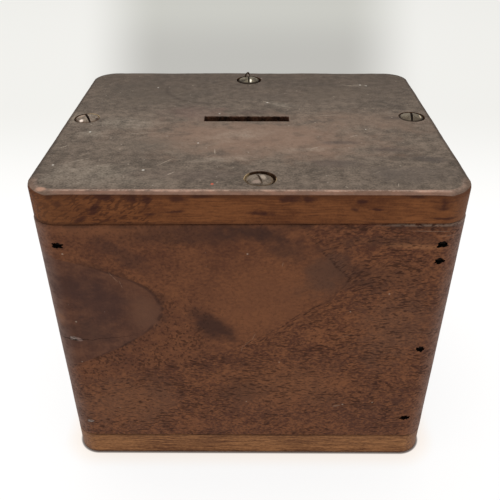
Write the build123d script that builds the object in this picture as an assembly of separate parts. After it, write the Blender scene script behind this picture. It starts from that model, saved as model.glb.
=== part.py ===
from build123d import *
from math import asin, cos, pi, sin
import os

# Small hardwood ballot box. Four walls are nailed together at butt joints with cut
# brads, a base is nailed on from below, and a thick lid with a slot is held down by
# one slotted screw in the middle of each side.
# Millimetres. The origin is the centre of the underside, +X is to the right as seen
# from the front, +Y is to the back and +Z is up.

# Boards
box_width = 140.0
box_depth = 117.0
wall_height = 98.5
panel_thickness = 18.0
end_thickness = 15.0
lid_thickness = 11.0
base_thickness = 10.5

# Worn and rounded edges
lid_corner_radius = 9.2
wall_corner_radius = 8.6
lid_edge_radius = 0.9
foot_arris = 0.35
joint_arris = 0.3

# Slot in the lid, a little left of and behind the middle
slot_length = 32.2
slot_width = 4.6
slot_shift_left = 1.3
slot_shift_back = 2.1
slot_arris = 0.3

# Slotted wood screws with raised countersunk heads
screw_length = 31.8
screw_head_diameter = 9.1
screw_head_dome = 1.1
screw_head_rim = 0.4
screw_dome_rings = 3
screw_shank_diameter = 4.8
screw_point_length = 5.0
screw_slot_width = 0.9
screw_slot_depth = 1.5

# Room round a screw: under its head, round its shank in the lid, round its thread in
# the wall, and below its point
seat_clearance = 0.12
shank_clearance = 0.25
thread_clearance = 0.1
point_clearance = 1.0

# Sliver of metal that a slipping driver has torn up beside the back screw's slot
sliver_span = 3.0
sliver_height = 2.95
sliver_gauge = 0.45
sliver_breadth = 1.1
sliver_bends = 6
sliver_shift_back = 2.6
sliver_turn = 12.0

# Cut brads: nails stamped from sheet, which taper in their width alone
brad_length = 38.0
brad_gauge = 1.5
brad_head_width = 2.7
brad_head_thickness = 1.0
brad_shank_width = 2.1
brad_end_width = 0.9
brad_row_margin = 8.2
brad_extra_drop = 6.3
base_brad_spread = 42.0
common_brad_sink = 0.8

# What follows from the sizes above
half_width = box_width / 2
half_depth = box_depth / 2
wall_foot = base_thickness
wall_top = wall_foot + wall_height
wall_middle = (wall_foot + wall_top) / 2
lid_top = wall_top + lid_thickness
panel_middle = half_depth - panel_thickness / 2
end_middle = half_width - end_thickness / 2
end_length = box_depth - 2 * panel_thickness
screw_head_radius = screw_head_diameter / 2
screw_shank_radius = screw_shank_diameter / 2
cut_past = 5.0

# Each lid screw: its place over the middle of the wall below it and how far the hand
# that drilled it was off, the depth that its head is sunk, the gap that was cut round
# the head, and the turn of its slot away from the box's depth
lid_screws = {
    "lid_screw_front": (3.2, -panel_middle + 1.1, 0.5, 0.6, 15.0),
    "lid_screw_back": (-0.8, panel_middle - 1.2, 0.0, 0.8, 0.0),
    "lid_screw_left": (-end_middle - 0.3, 2.5, 0.15, 0.25, 25.0),
    "lid_screw_right": (end_middle + 0.1, 4.7, 0.2, 0.4, -7.5),
}

# Rows in which the wall brads stand
brad_rows = {
    "top": wall_top - brad_row_margin,
    "extra": wall_top - brad_row_margin - brad_extra_drop,
    "middle": wall_middle,
    "bottom": wall_foot + brad_row_margin,
}

# Each front brad: its side, its row, how far the hammer left it off that place to the
# right and up, and how deep its head is punched below the face
front_brads = {
    "front_brad_left_top": (-1, "top", 0.8, 0.2, 1.6),
    "front_brad_left_middle": (-1, "middle", -0.1, 1.8, 0.3),
    "front_brad_left_bottom": (-1, "bottom", 0.0, -0.4, 0.15),
    "front_brad_right_top": (1, "top", -0.4, 0.9, 1.6),
    "front_brad_right_extra": (1, "extra", -0.6, 0.9, 1.5),
    "front_brad_right_middle": (1, "middle", -0.9, -2.8, 1.2),
    "front_brad_right_bottom": (1, "bottom", -1.5, 2.1, 1.5),
}


# The outline of the box and the boards cut from it

def outer_block(height, level, radius):
    """A block of the box's whole outline that stands at a level, its corners rounded."""
    outline = RectangleRounded(box_width, box_depth, radius)
    return Pos(0, 0, level) * extrude(outline, height)


def top_rim(block):
    """The edges round the top of a block."""
    return block.faces().sort_by(Axis.Z)[-1].edges()


def bottom_rim(block):
    """The edges round the underside of a block."""
    return block.faces().sort_by(Axis.Z)[0].edges()


def base_board():
    """The base: as wide and deep as the walls that stand on it."""
    board = outer_block(base_thickness, 0, wall_corner_radius)
    board = chamfer(top_rim(board), joint_arris)
    return chamfer(bottom_rim(board), foot_arris)


def lid_board():
    """The lid before its holes are cut, worn round along its top edge."""
    board = outer_block(lid_thickness, wall_top, lid_corner_radius)
    board = fillet(top_rim(board), lid_edge_radius)
    return chamfer(bottom_rim(board), joint_arris)


def wall_ring():
    """The four walls as one block, from which each wall is cut."""
    block = outer_block(wall_height, wall_foot, wall_corner_radius)
    return chamfer(top_rim(block) + bottom_rim(block), joint_arris)


def panel_board(side):
    """The front or back panel: full width, its outer corners rounded over."""
    middle = Pos(0, side * panel_middle, wall_middle)
    return wall_ring() & middle * Box(box_width, panel_thickness, wall_height)


def end_board(side):
    """The left or right end, which butts between the two panels."""
    middle = Pos(side * end_middle, 0, wall_middle)
    return wall_ring() & middle * Box(end_thickness, end_length, wall_height)


def slot_cut():
    """The slot through the lid, its mouth a little worn."""
    middle = Pos(-slot_shift_left, slot_shift_back, 0)
    slot = middle * Rectangle(slot_length, slot_width)
    mouth = middle * Rectangle(slot_length + 2 * slot_arris, slot_width + 2 * slot_arris)
    shaft = Pos(0, 0, wall_top - cut_past) * extrude(slot, lid_thickness + 2 * cut_past)
    funnel = loft([Pos(0, 0, lid_top - slot_arris) * slot, Pos(0, 0, lid_top) * mouth])
    return shaft + funnel


# Screws and the room that each one has

def screw_dome():
    """Points along the arc of the raised head, from its rim to its crown."""
    chord = screw_head_radius**2 + screw_head_dome**2
    dome_radius = chord / (2 * screw_head_dome)
    centre = screw_head_dome - dome_radius
    rim_angle = asin(screw_head_radius / dome_radius)
    angles = [rim_angle * ring / screw_dome_rings for ring in range(screw_dome_rings, -1, -1)]
    return [(dome_radius * sin(a), centre + dome_radius * cos(a)) for a in angles]


def screw(slot_turn):
    """A screw that stands on its point, the rim of its head level with the origin."""
    cone_foot = -screw_head_rim - (screw_head_radius - screw_shank_radius)
    side = Polyline(
        (0, -screw_length),
        (screw_shank_radius, -screw_length + screw_point_length),
        (screw_shank_radius, cone_foot),
        (screw_head_radius, -screw_head_rim),
        *screw_dome(),
        close=True,
    )
    turned = revolve(Plane.XZ * make_face(side), Axis.Z)
    slot = Box(screw_slot_width, 2 * screw_head_diameter, 2 * screw_slot_depth)
    return turned - Pos(0, 0, screw_head_dome) * Rot(0, 0, slot_turn) * slot


def lid_hole(gap):
    """The countersunk hole through the lid, for a screw whose rim is at the origin."""
    mouth_radius = screw_head_radius + gap
    shank_room = screw_shank_radius + shank_clearance
    seat_level = -screw_head_rim - seat_clearance
    side = Polyline(
        (0, cut_past),
        (mouth_radius, cut_past),
        (mouth_radius, seat_level + gap),
        (shank_room, seat_level - (screw_head_radius - shank_room)),
        (shank_room, -lid_thickness - cut_past),
        (0, -lid_thickness - cut_past),
        (0, cut_past),
    )
    return revolve(Plane.XZ * make_face(side), Axis.Z)


def pilot_hole():
    """The hole in a wall that the thread grips, for a screw whose rim is at the origin."""
    depth = screw_length + point_clearance
    return extrude(Circle(screw_shank_radius + thread_clearance), -depth)


def torn_sliver():
    """A thin curl of metal that arches up beside a slot, its feet in the head."""
    half_span = sliver_span / 2
    bends = [pi * step / sliver_bends for step in range(sliver_bends + 1)]
    outside = [(half_span * cos(a), sliver_height * sin(a)) for a in bends]
    in_span = half_span - sliver_gauge
    in_height = sliver_height - sliver_gauge
    inside = [(in_span * cos(a), in_height * sin(a)) for a in reversed(bends)]
    curl = make_face(Polyline(*outside, *inside, close=True))
    arch = extrude(Plane.XZ * curl, sliver_breadth)
    return Pos(0, sliver_shift_back, 0) * Rot(0, 0, sliver_turn) * arch


# Brads and the seats that they are driven into

def brad():
    """A cut brad that points down, the top of its head at the origin."""
    half_head = brad_head_width / 2
    half_shank = brad_shank_width / 2
    half_end = brad_end_width / 2
    stamping = Polyline(
        (-half_head, 0),
        (half_head, 0),
        (half_head, -brad_head_thickness),
        (half_shank, -brad_head_thickness),
        (half_end, -brad_length),
        (-half_end, -brad_length),
        (-half_shank, -brad_head_thickness),
        (-half_head, -brad_head_thickness),
        close=True,
    )
    return extrude(Plane.XZ * make_face(stamping), brad_gauge / 2, both=True)


def brad_seat():
    """The wood that a brad pushes aside, with the pocket that its head is punched into."""
    return brad() + extrude(Rectangle(brad_head_width, brad_gauge), cut_past)


def wall_brad_places():
    """Where the brads of the front and back panels stand, by name."""
    places = {}
    for name, (side, row, off_right, off_up, sink) in front_brads.items():
        head = (side * end_middle + off_right, sink - half_depth, brad_rows[row] + off_up)
        places[name] = Pos(*head) * Rot(90, 0, 0)
    for side, side_name in ((-1, "left"), (1, "right")):
        for row in ("top", "middle", "bottom"):
            head = (side * end_middle, half_depth - common_brad_sink, brad_rows[row])
            places[f"back_brad_{side_name}_{row}"] = Pos(*head) * Rot(-90, 0, 0)
    return places


def base_brad_places():
    """Where the brads stand that are driven up through the base, by name."""
    spots = {"left_end": (-end_middle, 0), "right_end": (end_middle, 0)}
    for side, side_name in ((-1, "front"), (1, "back")):
        for step, step_name in ((-1, "left"), (0, "middle"), (1, "right")):
            spot = (step * base_brad_spread, side * panel_middle)
            spots[f"{side_name}_{step_name}"] = spot
    turn = Rot(180, 0, 0)
    return {
        f"base_brad_{name}": Pos(x, y, common_brad_sink) * turn
        for name, (x, y) in spots.items()
    }


# Everything put in its place

def build_parts():
    """Every piece of the box, by name, where it lies when the box is shut."""
    places = {**wall_brad_places(), **base_brad_places()}
    parts = {name: place * brad() for name, place in places.items()}
    seats = [place * brad_seat() for place in places.values()]

    lid = lid_board() - slot_cut()
    for name, (x, y, sink, gap, slot_turn) in lid_screws.items():
        rim = Pos(x, y, lid_top - sink)
        parts[name] = rim * screw(slot_turn)
        lid -= rim * lid_hole(gap)
        seats.append(rim * pilot_hole())
        if name == "lid_screw_back":
            parts[name] += rim * torn_sliver()
    parts["lid"] = lid

    walls_and_base = {
        "base": base_board(),
        "front_panel": panel_board(-1),
        "back_panel": panel_board(1),
        "left_end": end_board(-1),
        "right_end": end_board(1),
    }
    for name, board in walls_and_base.items():
        parts[name] = board - seats
    return parts


os.makedirs("parts", exist_ok=True)
for name, part in build_parts().items():
    part.label = name
    export_step(part, f"parts/{name}.step")
    print(name, round(part.volume, 1))
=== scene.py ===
# %% [markdown]
# # A small ballot box
#
# This lesson dresses a small wooden box for votes: four nailed walls, a nailed base and a thick
# lid with a slot, held by one screw in the middle of each side. The sizes of its boards, screws
# and nails come from a frame of plain solids that is loaded first, and every piece made here
# stands exactly where its plain solid does.

# %% Load the frame
import functools
import math

import bpy
from mathutils import Matrix, Vector, noise


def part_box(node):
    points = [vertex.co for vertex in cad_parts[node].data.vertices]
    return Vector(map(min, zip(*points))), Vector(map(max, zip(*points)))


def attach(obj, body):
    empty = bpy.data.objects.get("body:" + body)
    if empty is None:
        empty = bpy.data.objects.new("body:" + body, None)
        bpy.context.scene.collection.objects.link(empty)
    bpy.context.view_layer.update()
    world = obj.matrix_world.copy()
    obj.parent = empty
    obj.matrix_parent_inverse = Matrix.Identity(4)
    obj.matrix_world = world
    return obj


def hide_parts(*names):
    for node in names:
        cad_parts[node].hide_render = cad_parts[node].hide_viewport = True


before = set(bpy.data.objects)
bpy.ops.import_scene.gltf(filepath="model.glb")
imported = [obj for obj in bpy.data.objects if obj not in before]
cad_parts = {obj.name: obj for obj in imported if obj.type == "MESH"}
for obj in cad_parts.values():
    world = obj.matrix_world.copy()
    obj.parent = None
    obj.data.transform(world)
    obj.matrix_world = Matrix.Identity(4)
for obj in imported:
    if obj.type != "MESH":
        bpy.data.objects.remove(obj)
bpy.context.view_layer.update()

# %% [markdown]
# ## Working in millimetres
#
# Blender measures in metres, but a box as small as this is easier to think about in millimetres.
# So the frame's corners are turned into millimetres here, all shapes are worked out in them, and
# only the last step of making a mesh shrinks its points to metres.

# %% Sizes in millimetres
MM = 0.001


def corners(node):
    """The lowest and highest corner of a piece of the frame, in millimetres."""
    low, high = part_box(node)
    return low / MM, high / MM


lid_low, lid_high = corners("lid")
base_low, base_high = corners("base")
box_half = Vector((lid_high.x, lid_high.y))
wall_foot = base_high.z
wall_top = lid_low.z
lid_top = lid_high.z

# How round the box's upright corners are, at the lid and below it
lid_corner = 9.2
wall_corner = 8.6
print("box", [round(2 * half, 1) for half in box_half], "walls", round(wall_foot, 1), round(wall_top, 1))

# %% [markdown]
# ## Camera
#
# The photo looks down on the front of the box from close by, so its sides run together towards
# the foot. A camera is only placed and turned; its lens decides how strongly near things grow.
# Depth of field stays off, because everything has to be sharp.

# %% Camera
camera_place = Vector((1.1, -224.7, 209.8))
camera_pitch = 33.55
camera_turn = 0.28
camera_lens = 44.6


def make_camera():
    """A camera at the photo's place, its lens in millimetres on a sensor 36 mm wide."""
    camera = bpy.data.objects.new("photo_camera", bpy.data.cameras.new("photo_camera"))
    camera.location = camera_place * MM
    camera.rotation_euler = (math.radians(90 - camera_pitch), 0, math.radians(camera_turn))
    camera.data.sensor_width = 36.0
    camera.data.lens = camera_lens
    camera.data.clip_start = 0.01
    bpy.context.scene.collection.objects.link(camera)
    bpy.context.scene.camera = camera
    return camera


camera = make_camera()
print("camera", round((camera.location / MM).length), "mm from the middle of the foot")

# %% [markdown]
# ## Painting with sums
#
# A material in Blender is a net of nodes, and most of wood's look is sums on a few noise
# patterns: more pores here, less shine there. Written as nodes those sums are long and hard to
# read. The small class below wraps one socket of a node, so that `pores * 0.5 + stain` makes
# the nodes for it. Colours and vectors have their own two methods, because a Math node would
# turn a colour grey.

# %% A wire through a material
class Wire:
    """One output of a node. Signs of arithmetic on it add Math nodes to its material."""

    def __init__(self, socket):
        self.socket = socket

    def node(self, kind, settings, inputs, output=0):
        """Adds a node of any kind: first its settings, then what goes into its sockets."""
        tree = self.socket.id_data
        added = tree.nodes.new("ShaderNode" + kind)
        for name, value in settings.items():
            setattr(added, name, value)
        for place, value in inputs.items():
            if isinstance(value, Wire):
                tree.links.new(value.socket, added.inputs[place])
            else:
                added.inputs[place].default_value = value
        return Wire(added.outputs[output])

    def maths(self, operation, *values):
        """A Math node, on this wire and up to two more values."""
        return self.node("Math", {"operation": operation}, dict(enumerate((self, *values))))

    def __add__(self, other):
        return self.maths("ADD", other)

    def __mul__(self, other):
        return self.maths("MULTIPLY", other)

    def __sub__(self, other):
        return self.maths("SUBTRACT", other)

    def __rsub__(self, other):
        return self.node("Math", {"operation": "SUBTRACT"}, {0: other, 1: self})

    def __truediv__(self, other):
        return self.maths("DIVIDE", other)

    def __pow__(self, power):
        return self.maths("POWER", power)

    __radd__ = __add__
    __rmul__ = __mul__

    def larger(self, other):
        """The larger of two values."""
        return self.maths("MAXIMUM", other)

    def smaller(self, other):
        """The smaller of two values."""
        return self.maths("MINIMUM", other)

    def step(self, start, end):
        """A soft step: 0 at start, 1 at end, whichever of them is larger."""
        inputs = {"Value": self, "From Min": start, "From Max": end}
        return self.node("MapRange", {"interpolation_type": "SMOOTHSTEP"}, inputs)

    def vector(self, operation, other):
        """A Vector Math node, on this vector and another."""
        return self.node("VectorMath", {"operation": operation}, {0: self, 1: other})

    def noise(self, size, detail=2.0, roughness=0.5, stretch=(1, 1, 1), shift=0.0):
        """Cloudy noise from 0 to 1 whose clouds are about size millimetres across."""
        scale = Vector([1 / (size * along) for along in stretch])
        place = self.vector("MULTIPLY", scale).vector("ADD", (shift, 1.7 * shift, 2.3 * shift))
        return place.node("TexNoise", {}, {"Vector": place, "Scale": 1.0, "Detail": detail,
                                           "Roughness": roughness})

    def mix(self, low, high):
        """The colour low where this wire is 0 and high where it is 1."""
        return self.node("Mix", {"data_type": "RGBA"}, {0: self, 6: low, 7: high}, output=2)

    def parts(self):
        """The three values of a vector, each on its own wire."""
        return [self.node("SeparateXYZ", {}, {0: self}, output=part) for part in range(3)]


def tone(red, green, blue):
    """A colour as a painter reads it off a screen, from 0 to 255, as the light it stands for."""
    return (*[((value / 255 + 0.055) / 1.055) ** 2.4 if value > 10 else value / 3294.6
              for value in (red, green, blue)], 1.0)


def new_material(name):
    """An empty material: its shader node, and the place on the piece in millimetres."""
    material = bpy.data.materials.new(name)
    material.use_nodes = True
    shader = material.node_tree.nodes["Principled BSDF"]
    coordinates = material.node_tree.nodes.new("ShaderNodeTexCoord")
    place = Wire(coordinates.outputs["Object"]).vector("MULTIPLY", (1 / MM, 1 / MM, 1 / MM))
    return material, shader, place


def feed(shader, **wires):
    """Links wires to a shader's sockets, whose names have a low line for each space."""
    for name, wire in wires.items():
        wire.socket.id_data.links.new(wire.socket, shader.inputs[name.replace("_", " ")])


def from_side(x, y, radius):
    """How far inside the box's outline a point is, in millimetres; below 0 outside it."""
    right = x.maths("ABSOLUTE") - (box_half.x - radius)
    back = y.maths("ABSOLUTE") - (box_half.y - radius)
    round_part = (right.larger(0.0) ** 2.0 + back.larger(0.0) ** 2.0) ** 0.5
    flat_part = right.larger(back).smaller(0.0)
    return radius - round_part - flat_part


# %% [markdown]
# ## Light and floor
#
# The box was photographed on a white table that the picture shows as pure white, in soft light
# from everywhere. An evenly bright world gives such light, and one wide lamp above makes the
# lid a little brighter than the front. The floor glows a little by itself, so that the box
# hardly darkens it, apart from a thin painted contact shadow where it stands. Right beside the
# box a painted reflection gives the floor a little of the box's warm colour. Behind the box the
# floor is painted dimmer as shade, and far behind it a band of painted shade makes it greyer.

# %% Light and floor
world_strength = 0.86
lamp_watts = 5.5
lamp_side = 1100.0
lamp_place = Vector((-150.0, 250.0, 1000.0))
floor_half = 3000.0
floor_drop = 0.05
floor_glow = 0.82
floor_paper = (124, 123, 122)


def make_world():
    """An evenly white world."""
    world = bpy.data.worlds.new("white_room")
    world.use_nodes = True
    background = world.node_tree.nodes["Background"]
    background.inputs["Color"].default_value = (1.0, 0.99, 0.97, 1.0)
    background.inputs["Strength"].default_value = world_strength
    bpy.context.scene.world = world


def make_lamp():
    """A wide soft lamp above and a little behind the box."""
    lamp = bpy.data.objects.new("wide_lamp", bpy.data.lights.new("wide_lamp", "AREA"))
    lamp.data.shape = "SQUARE"
    lamp.data.size = lamp_side * MM
    lamp.data.energy = lamp_watts
    lamp.location = lamp_place * MM
    lamp.rotation_euler = (-lamp_place).to_track_quat("-Z", "Y").to_euler()
    bpy.context.scene.collection.objects.link(lamp)


def floor_finish():
    """White paper, with painted shade that dims it behind the box and greys a band far behind it, a painted
    warm reflection beside the box and a painted contact shadow round its foot.
    """
    material, shader, place = new_material("white_paper")
    x, y, _ = place.parts()
    # Painted shade: the floor's glow is dimmer behind the box, and a grey band lies far behind it.
    off_middle = x.maths("ABSOLUTE") / (y * 0.168 + 61.0)
    band = off_middle.step(1.40, 0.72) * y.step(250.0, 420.0)
    glow = y.step(60.0, 340.0).mix(tone(255, 255, 255), tone(229, 229, 225))
    far_band = y.step(480.0, 760.0).mix(tone(157, 157, 151), tone(179, 180, 172))
    inside = from_side(x, y, wall_corner)
    # Painted reflection: right beside the box the floor takes a little of the box's warm colour.
    near = (inside.step(-9.0, -0.5) * 0.55).mix(band.mix(glow, far_band), tone(252, 236, 220))
    # Painted contact shadow: a thin dark line round the box's foot.
    feed(shader, Emission_Color=inside.step(-0.9, -0.2).mix(near, tone(70, 52, 42)))
    shader.inputs["Base Color"].default_value = tone(*floor_paper)
    shader.inputs["Emission Strength"].default_value = floor_glow
    shader.inputs["Roughness"].default_value = 0.9
    shader.inputs["Specular IOR Level"].default_value = 0.0
    return material


def make_floor():
    """A flat sheet just below the box."""
    sheet = bpy.data.meshes.new("floor")
    reach = floor_half * MM
    spots = [(-reach, -reach), (reach, -reach), (reach, reach), (-reach, reach)]
    sheet.from_pydata([(x, y, -floor_drop * MM) for x, y in spots], [], [(0, 1, 2, 3)])
    floor = bpy.data.objects.new("floor", sheet)
    floor.data.materials.append(floor_finish())
    bpy.context.scene.collection.objects.link(floor)


make_world()
make_lamp()
make_floor()
bpy.context.scene.view_settings.view_transform = "Standard"
print("world", world_strength, "lamp", lamp_watts, "W")

# %% [markdown]
# ## Skins over rings
#
# Every piece of this box can be made the same way: a stack of closed rings of points with a
# skin stretched over it. A board is a stack of its outline, a screw is a stack of circles and
# a nail is a stack of small rectangles. One function makes the skin, and another turns it into
# a mesh whose shading is smooth over gentle bends and crisp at real edges.

# %% Skins and meshes
smooth_below = math.radians(32)
finish_places = 3


def skin(rings):
    """Points and faces of a closed skin over equal rings, which run anticlockwise."""
    count = len(rings[0])
    points = [point for ring in rings for point in ring]
    faces = [tuple(reversed(range(count)))]
    for level in range(len(rings) - 1):
        for step in range(count):
            here = level * count + step
            beside = level * count + (step + 1) % count
            faces.append((here, beside, beside + count, here + count))
    faces.append(tuple(range(len(points) - count, len(points))))
    return points, faces


def make_piece(name, shapes, place=(0, 0, 0), turn=None):
    """One object from a list of skins in millimetres, which is turned and put in its place."""
    points = []
    faces = []
    for shape_points, shape_faces in shapes:
        first = len(points)
        points += [Vector(point) * MM for point in shape_points]
        faces += [tuple(first + corner for corner in face) for face in shape_faces]
    mesh = bpy.data.meshes.new(name)
    mesh.from_pydata(points, [], faces)
    for _ in range(finish_places):
        mesh.materials.append(None)
    piece = bpy.data.objects.new(name, mesh)
    piece.matrix_world = Matrix.Translation(Vector(place) * MM) @ (turn or Matrix()).to_4x4()
    bpy.context.scene.collection.objects.link(piece)
    return piece


def shade(piece):
    """Smooth shading, but crisp at edges that bend by more than smooth_below."""
    piece.data.shade_smooth()
    piece.data.set_sharp_from_angle(angle=smooth_below)
    return piece


def cut_out(piece, finish, *cutters):
    """Cuts closed shapes out of a piece exactly, and throws the cutters away. The cut faces
    get the piece's finish of that number."""
    for cutter in cutters:
        cutter.data.polygons.foreach_set("material_index", [finish] * len(cutter.data.polygons))
        cut = piece.modifiers.new("cut", "BOOLEAN")
        cut.operation = "DIFFERENCE"
        cut.solver = "EXACT"
        cut.object = cutter
    ready = piece.evaluated_get(bpy.context.evaluated_depsgraph_get())
    shaped = bpy.data.meshes.new_from_object(ready)
    piece.modifiers.clear()
    piece.data = shaped
    shaped.name = piece.name
    for cutter in cutters:
        bpy.data.objects.remove(cutter)
    return piece


# %% [markdown]
# ## The outline of a board
#
# The box was rounded over after it was put together, so a corner is round only where two of
# the box's outer sides meet. Each point of an outline also holds the way that its side looks
# out of the box. Wear moves a point against that way, so that joints stay tight while the
# outside is worn.

# %% Outline of a board
outline_step = 1.6
arc_steps = 10
wear_patch = 14.0
wear_nick = 3.0
seam_middle = 0.06
seam_slope = 0.0062


def board_outline(low, high, radius):
    """(x, y, out x, out y) round a board, anticlockwise. A joint's face looks no way out."""
    spots = [(high.x, low.y), (high.x, high.y), (low.x, high.y), (low.x, low.y)]
    ways = [Vector((1, 0)), Vector((0, 1)), Vector((-1, 0)), Vector((0, -1))]
    looks = []
    for spot, way in zip(spots, ways):
        reach = abs(way.x) * box_half.x + abs(way.y) * box_half.y
        outer = abs(Vector(spot) @ way - reach) < 0.01
        looks.append(way if outer else Vector((0, 0)))
    runs = []
    for index, spot in enumerate(spots):
        before, after = looks[index - 1], looks[index]
        if before.length and after.length:
            middle = Vector(spot) - radius * (before + after)
            turns = [math.pi / 2 * step / arc_steps for step in range(arc_steps + 1)]
            outs = [before * math.cos(turn) + after * math.sin(turn) for turn in turns]
            runs.append([(*(middle + radius * out), *out) for out in outs])
        else:
            runs.append([(*spot, *(before + after))])
    points = []
    for index, run in enumerate(runs):
        points += run
        start = Vector(run[-1][:2])
        along = Vector(runs[(index + 1) % 4][0][:2]) - start
        steps = max(1, round(along.length / outline_step))
        points += [(*(start + along * step / steps), *looks[index]) for step in range(1, steps)]
    return points


def worn(x, y, z, size, seed):
    """How worn a spot is, from 0 to 1, in patches of about a size."""
    patch = noise.noise(Vector((x, y, z)) / size + Vector((seed, 0, 0)))
    return min(1.0, max(0.0, 0.5 + 0.9 * patch))


def seam_rise(x):
    """The seam between lid and walls isn't quite level: it climbs to the right."""
    return seam_middle + seam_slope * x


def board(name, low, high, radius, profile, seed):
    """A board as a stack of its outline. The profile has a level, how far the ring there is
    drawn in, by how much more wear draws it in and lowers it, and how far it sinks at the
    corners."""
    outline = board_outline(low, high, radius)
    rings = []
    for level, inset, bite, drop, corner_drop in profile:
        at_seam = abs(level - wall_top) < 1
        ring = []
        for x, y, out_x, out_y in outline:
            wear = 0.7 * worn(x, y, level, wear_patch, seed) + 0.3 * worn(x, y, level, wear_nick, seed)
            drawn = inset + bite * wear
            outer = abs(out_x) + abs(out_y) > 0
            at_corner = 2 * abs(out_x * min(0.0, out_y))
            rise = at_seam * seam_rise(x) - outer * drop * wear - at_corner * corner_drop
            ring.append((x - out_x * drawn, y - out_y * drawn, level + rise))
        rings.append(ring)
    return make_piece(name, [skin(rings)])


print(len(board_outline(lid_low, lid_high, lid_corner)), "points round the lid")

# %% [markdown]
# ## Countersinks, pilot holes and nail seats
#
# The lid's holes were drilled by hand: wider than the heads, a little off centre and with a
# frayed mouth. In some directions dirt has packed the gap round the head. Each hole is a stack
# of rough circles that is cut out of the lid, and its floor is higher where dirt lies. The hole
# in the wall below, which the thread grips, is a plain stack of circles.

# %% Screws of the lid: where they are and how they were fitted
head_radius = 4.55
head_rim = 0.4
shank_radius = 2.4
screw_length = 31.8
seat_clearance = 0.12
shank_clearance = 0.25
pilot_clearance = 0.1
pilot_spare = 1.0
mouth_bevel = 0.15
under_lid = -16.0

# How deep the gap round a head is below the rim where it is open, and where dirt has packed it
gap_depth = 1.5
packed_depth = 0.3

# For each side: depth of the rim below the lid, gap round the head, turn of the slot from the
# box's depth, and the way and share by which the gap is wider on one side
screw_fits = {
    "front": (0.5, 0.6, 15.0, 35.0, 0.6),
    "back": (0.0, 0.8, 0.0, 0.0, 0.1),
    "left": (0.15, 0.25, 25.0, 200.0, 0.5),
    "right": (0.2, 0.4, -7.5, 330.0, 0.5),
}

# The ways in which dirt has packed the gap round a head, as angles from the right
packed_ways = {"front": (178.0, -38.0), "back": (), "left": (50.0,), "right": ()}


def circle(radius, level, steps, ripple=None):
    """A ring of points at a level. A ripple changes the radius with the angle."""
    ring = []
    for step in range(steps):
        angle = 2 * math.pi * step / steps
        reach = radius * (1 + (ripple(angle) if ripple else 0))
        ring.append((reach * math.cos(angle), reach * math.sin(angle), level))
    return ring


def screw_place(side):
    """The middle of a screw's rim."""
    low, high = corners(f"lid_screw_{side}")
    return Vector(((low.x + high.x) / 2, (low.y + high.y) / 2, lid_top - screw_fits[side][0]))


def lid_hole(side):
    """What the drill and the countersink took out of the lid at one screw."""
    sink, gap, _, gap_way, gap_share = screw_fits[side]
    mouth = head_radius + gap
    seat = -head_rim - seat_clearance
    room = shank_radius + shank_clearance
    way = math.radians(gap_way)

    def frayed(angle):
        """By what share the mouth is wider at an angle."""
        rough = noise.noise(Vector((2.2 * math.cos(angle), 2.2 * math.sin(angle), sink * 10)))
        return gap_share * gap / mouth * math.cos(angle - way) + 0.03 * rough

    def packed(angle):
        """How far dirt fills the gap at an angle, from 0 to 1."""
        nearness = [max(0.0, math.cos(angle - math.radians(dirt))) ** 3 for dirt in packed_ways[side]]
        return max([0.0, *nearness])

    steps = 72
    floor = [(x, y, -gap_depth + (gap_depth - packed_depth) * packed(math.atan2(y, x)))
             for x, y, _ in circle(mouth, 0, steps, frayed)]
    rings = [
        circle(room, under_lid, steps),
        circle(room, seat - (head_radius - room), steps),
        floor,
        circle(mouth, sink - mouth_bevel, steps, frayed),
        circle(mouth + mouth_bevel, sink, steps, frayed),
        circle(mouth + mouth_bevel, sink + 2, steps, frayed),
    ]
    return make_piece("cutter", [skin(rings)], screw_place(side))


def pilot_hole(side):
    """The hole in the wall that the thread grips."""
    hole = shank_radius + pilot_clearance
    depth = screw_length + pilot_spare
    steps = 28
    rings = [circle(hole, 0, steps), circle(hole, depth + 5, steps)]
    return make_piece("cutter", [skin(rings)], screw_place(side) - Vector((0, 0, depth)))


print({side: [round(value, 1) for value in screw_place(side)] for side in screw_fits})

# %% [markdown]
# ## The lid and its slot
#
# The slot was chopped with a chisel: its front edge is straight, and its back edge is frayed
# where fibres broke out. Its outline has many small steps on the back side, which fade with
# depth. The lid's top edge is the most worn edge of the box, so its round is drawn in by a
# noise that changes along the edge.

# %% Lid
arris_run = 2.8
arris_drop = 0.15
corner_drop = 1.3
slot_half = Vector((16.1, 2.3))
slot_middle = Vector((-1.3, 2.1))
slot_fray = 0.42


def slot_ring(level, fray, flare):
    """The slot's outline at a level."""
    low = slot_middle - slot_half - Vector((flare, flare))
    high = slot_middle + slot_half + Vector((flare, flare))
    steps = 70
    ring = [(low.x + (high.x - low.x) * step / steps,
             low.y - 0.1 * fray * noise.noise(Vector((step * 0.4, 3, 0))), level)
            for step in range(steps + 1)]
    for step in range(steps, -1, -1):
        x = low.x + (high.x - low.x) * step / steps
        broken = noise.noise(Vector((x * 0.9, 8.0, 0))) + 0.5 * noise.noise(Vector((x * 2.6, 1, 0)))
        ring.append((x, high.y + fray * broken, level))
    return ring


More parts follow.
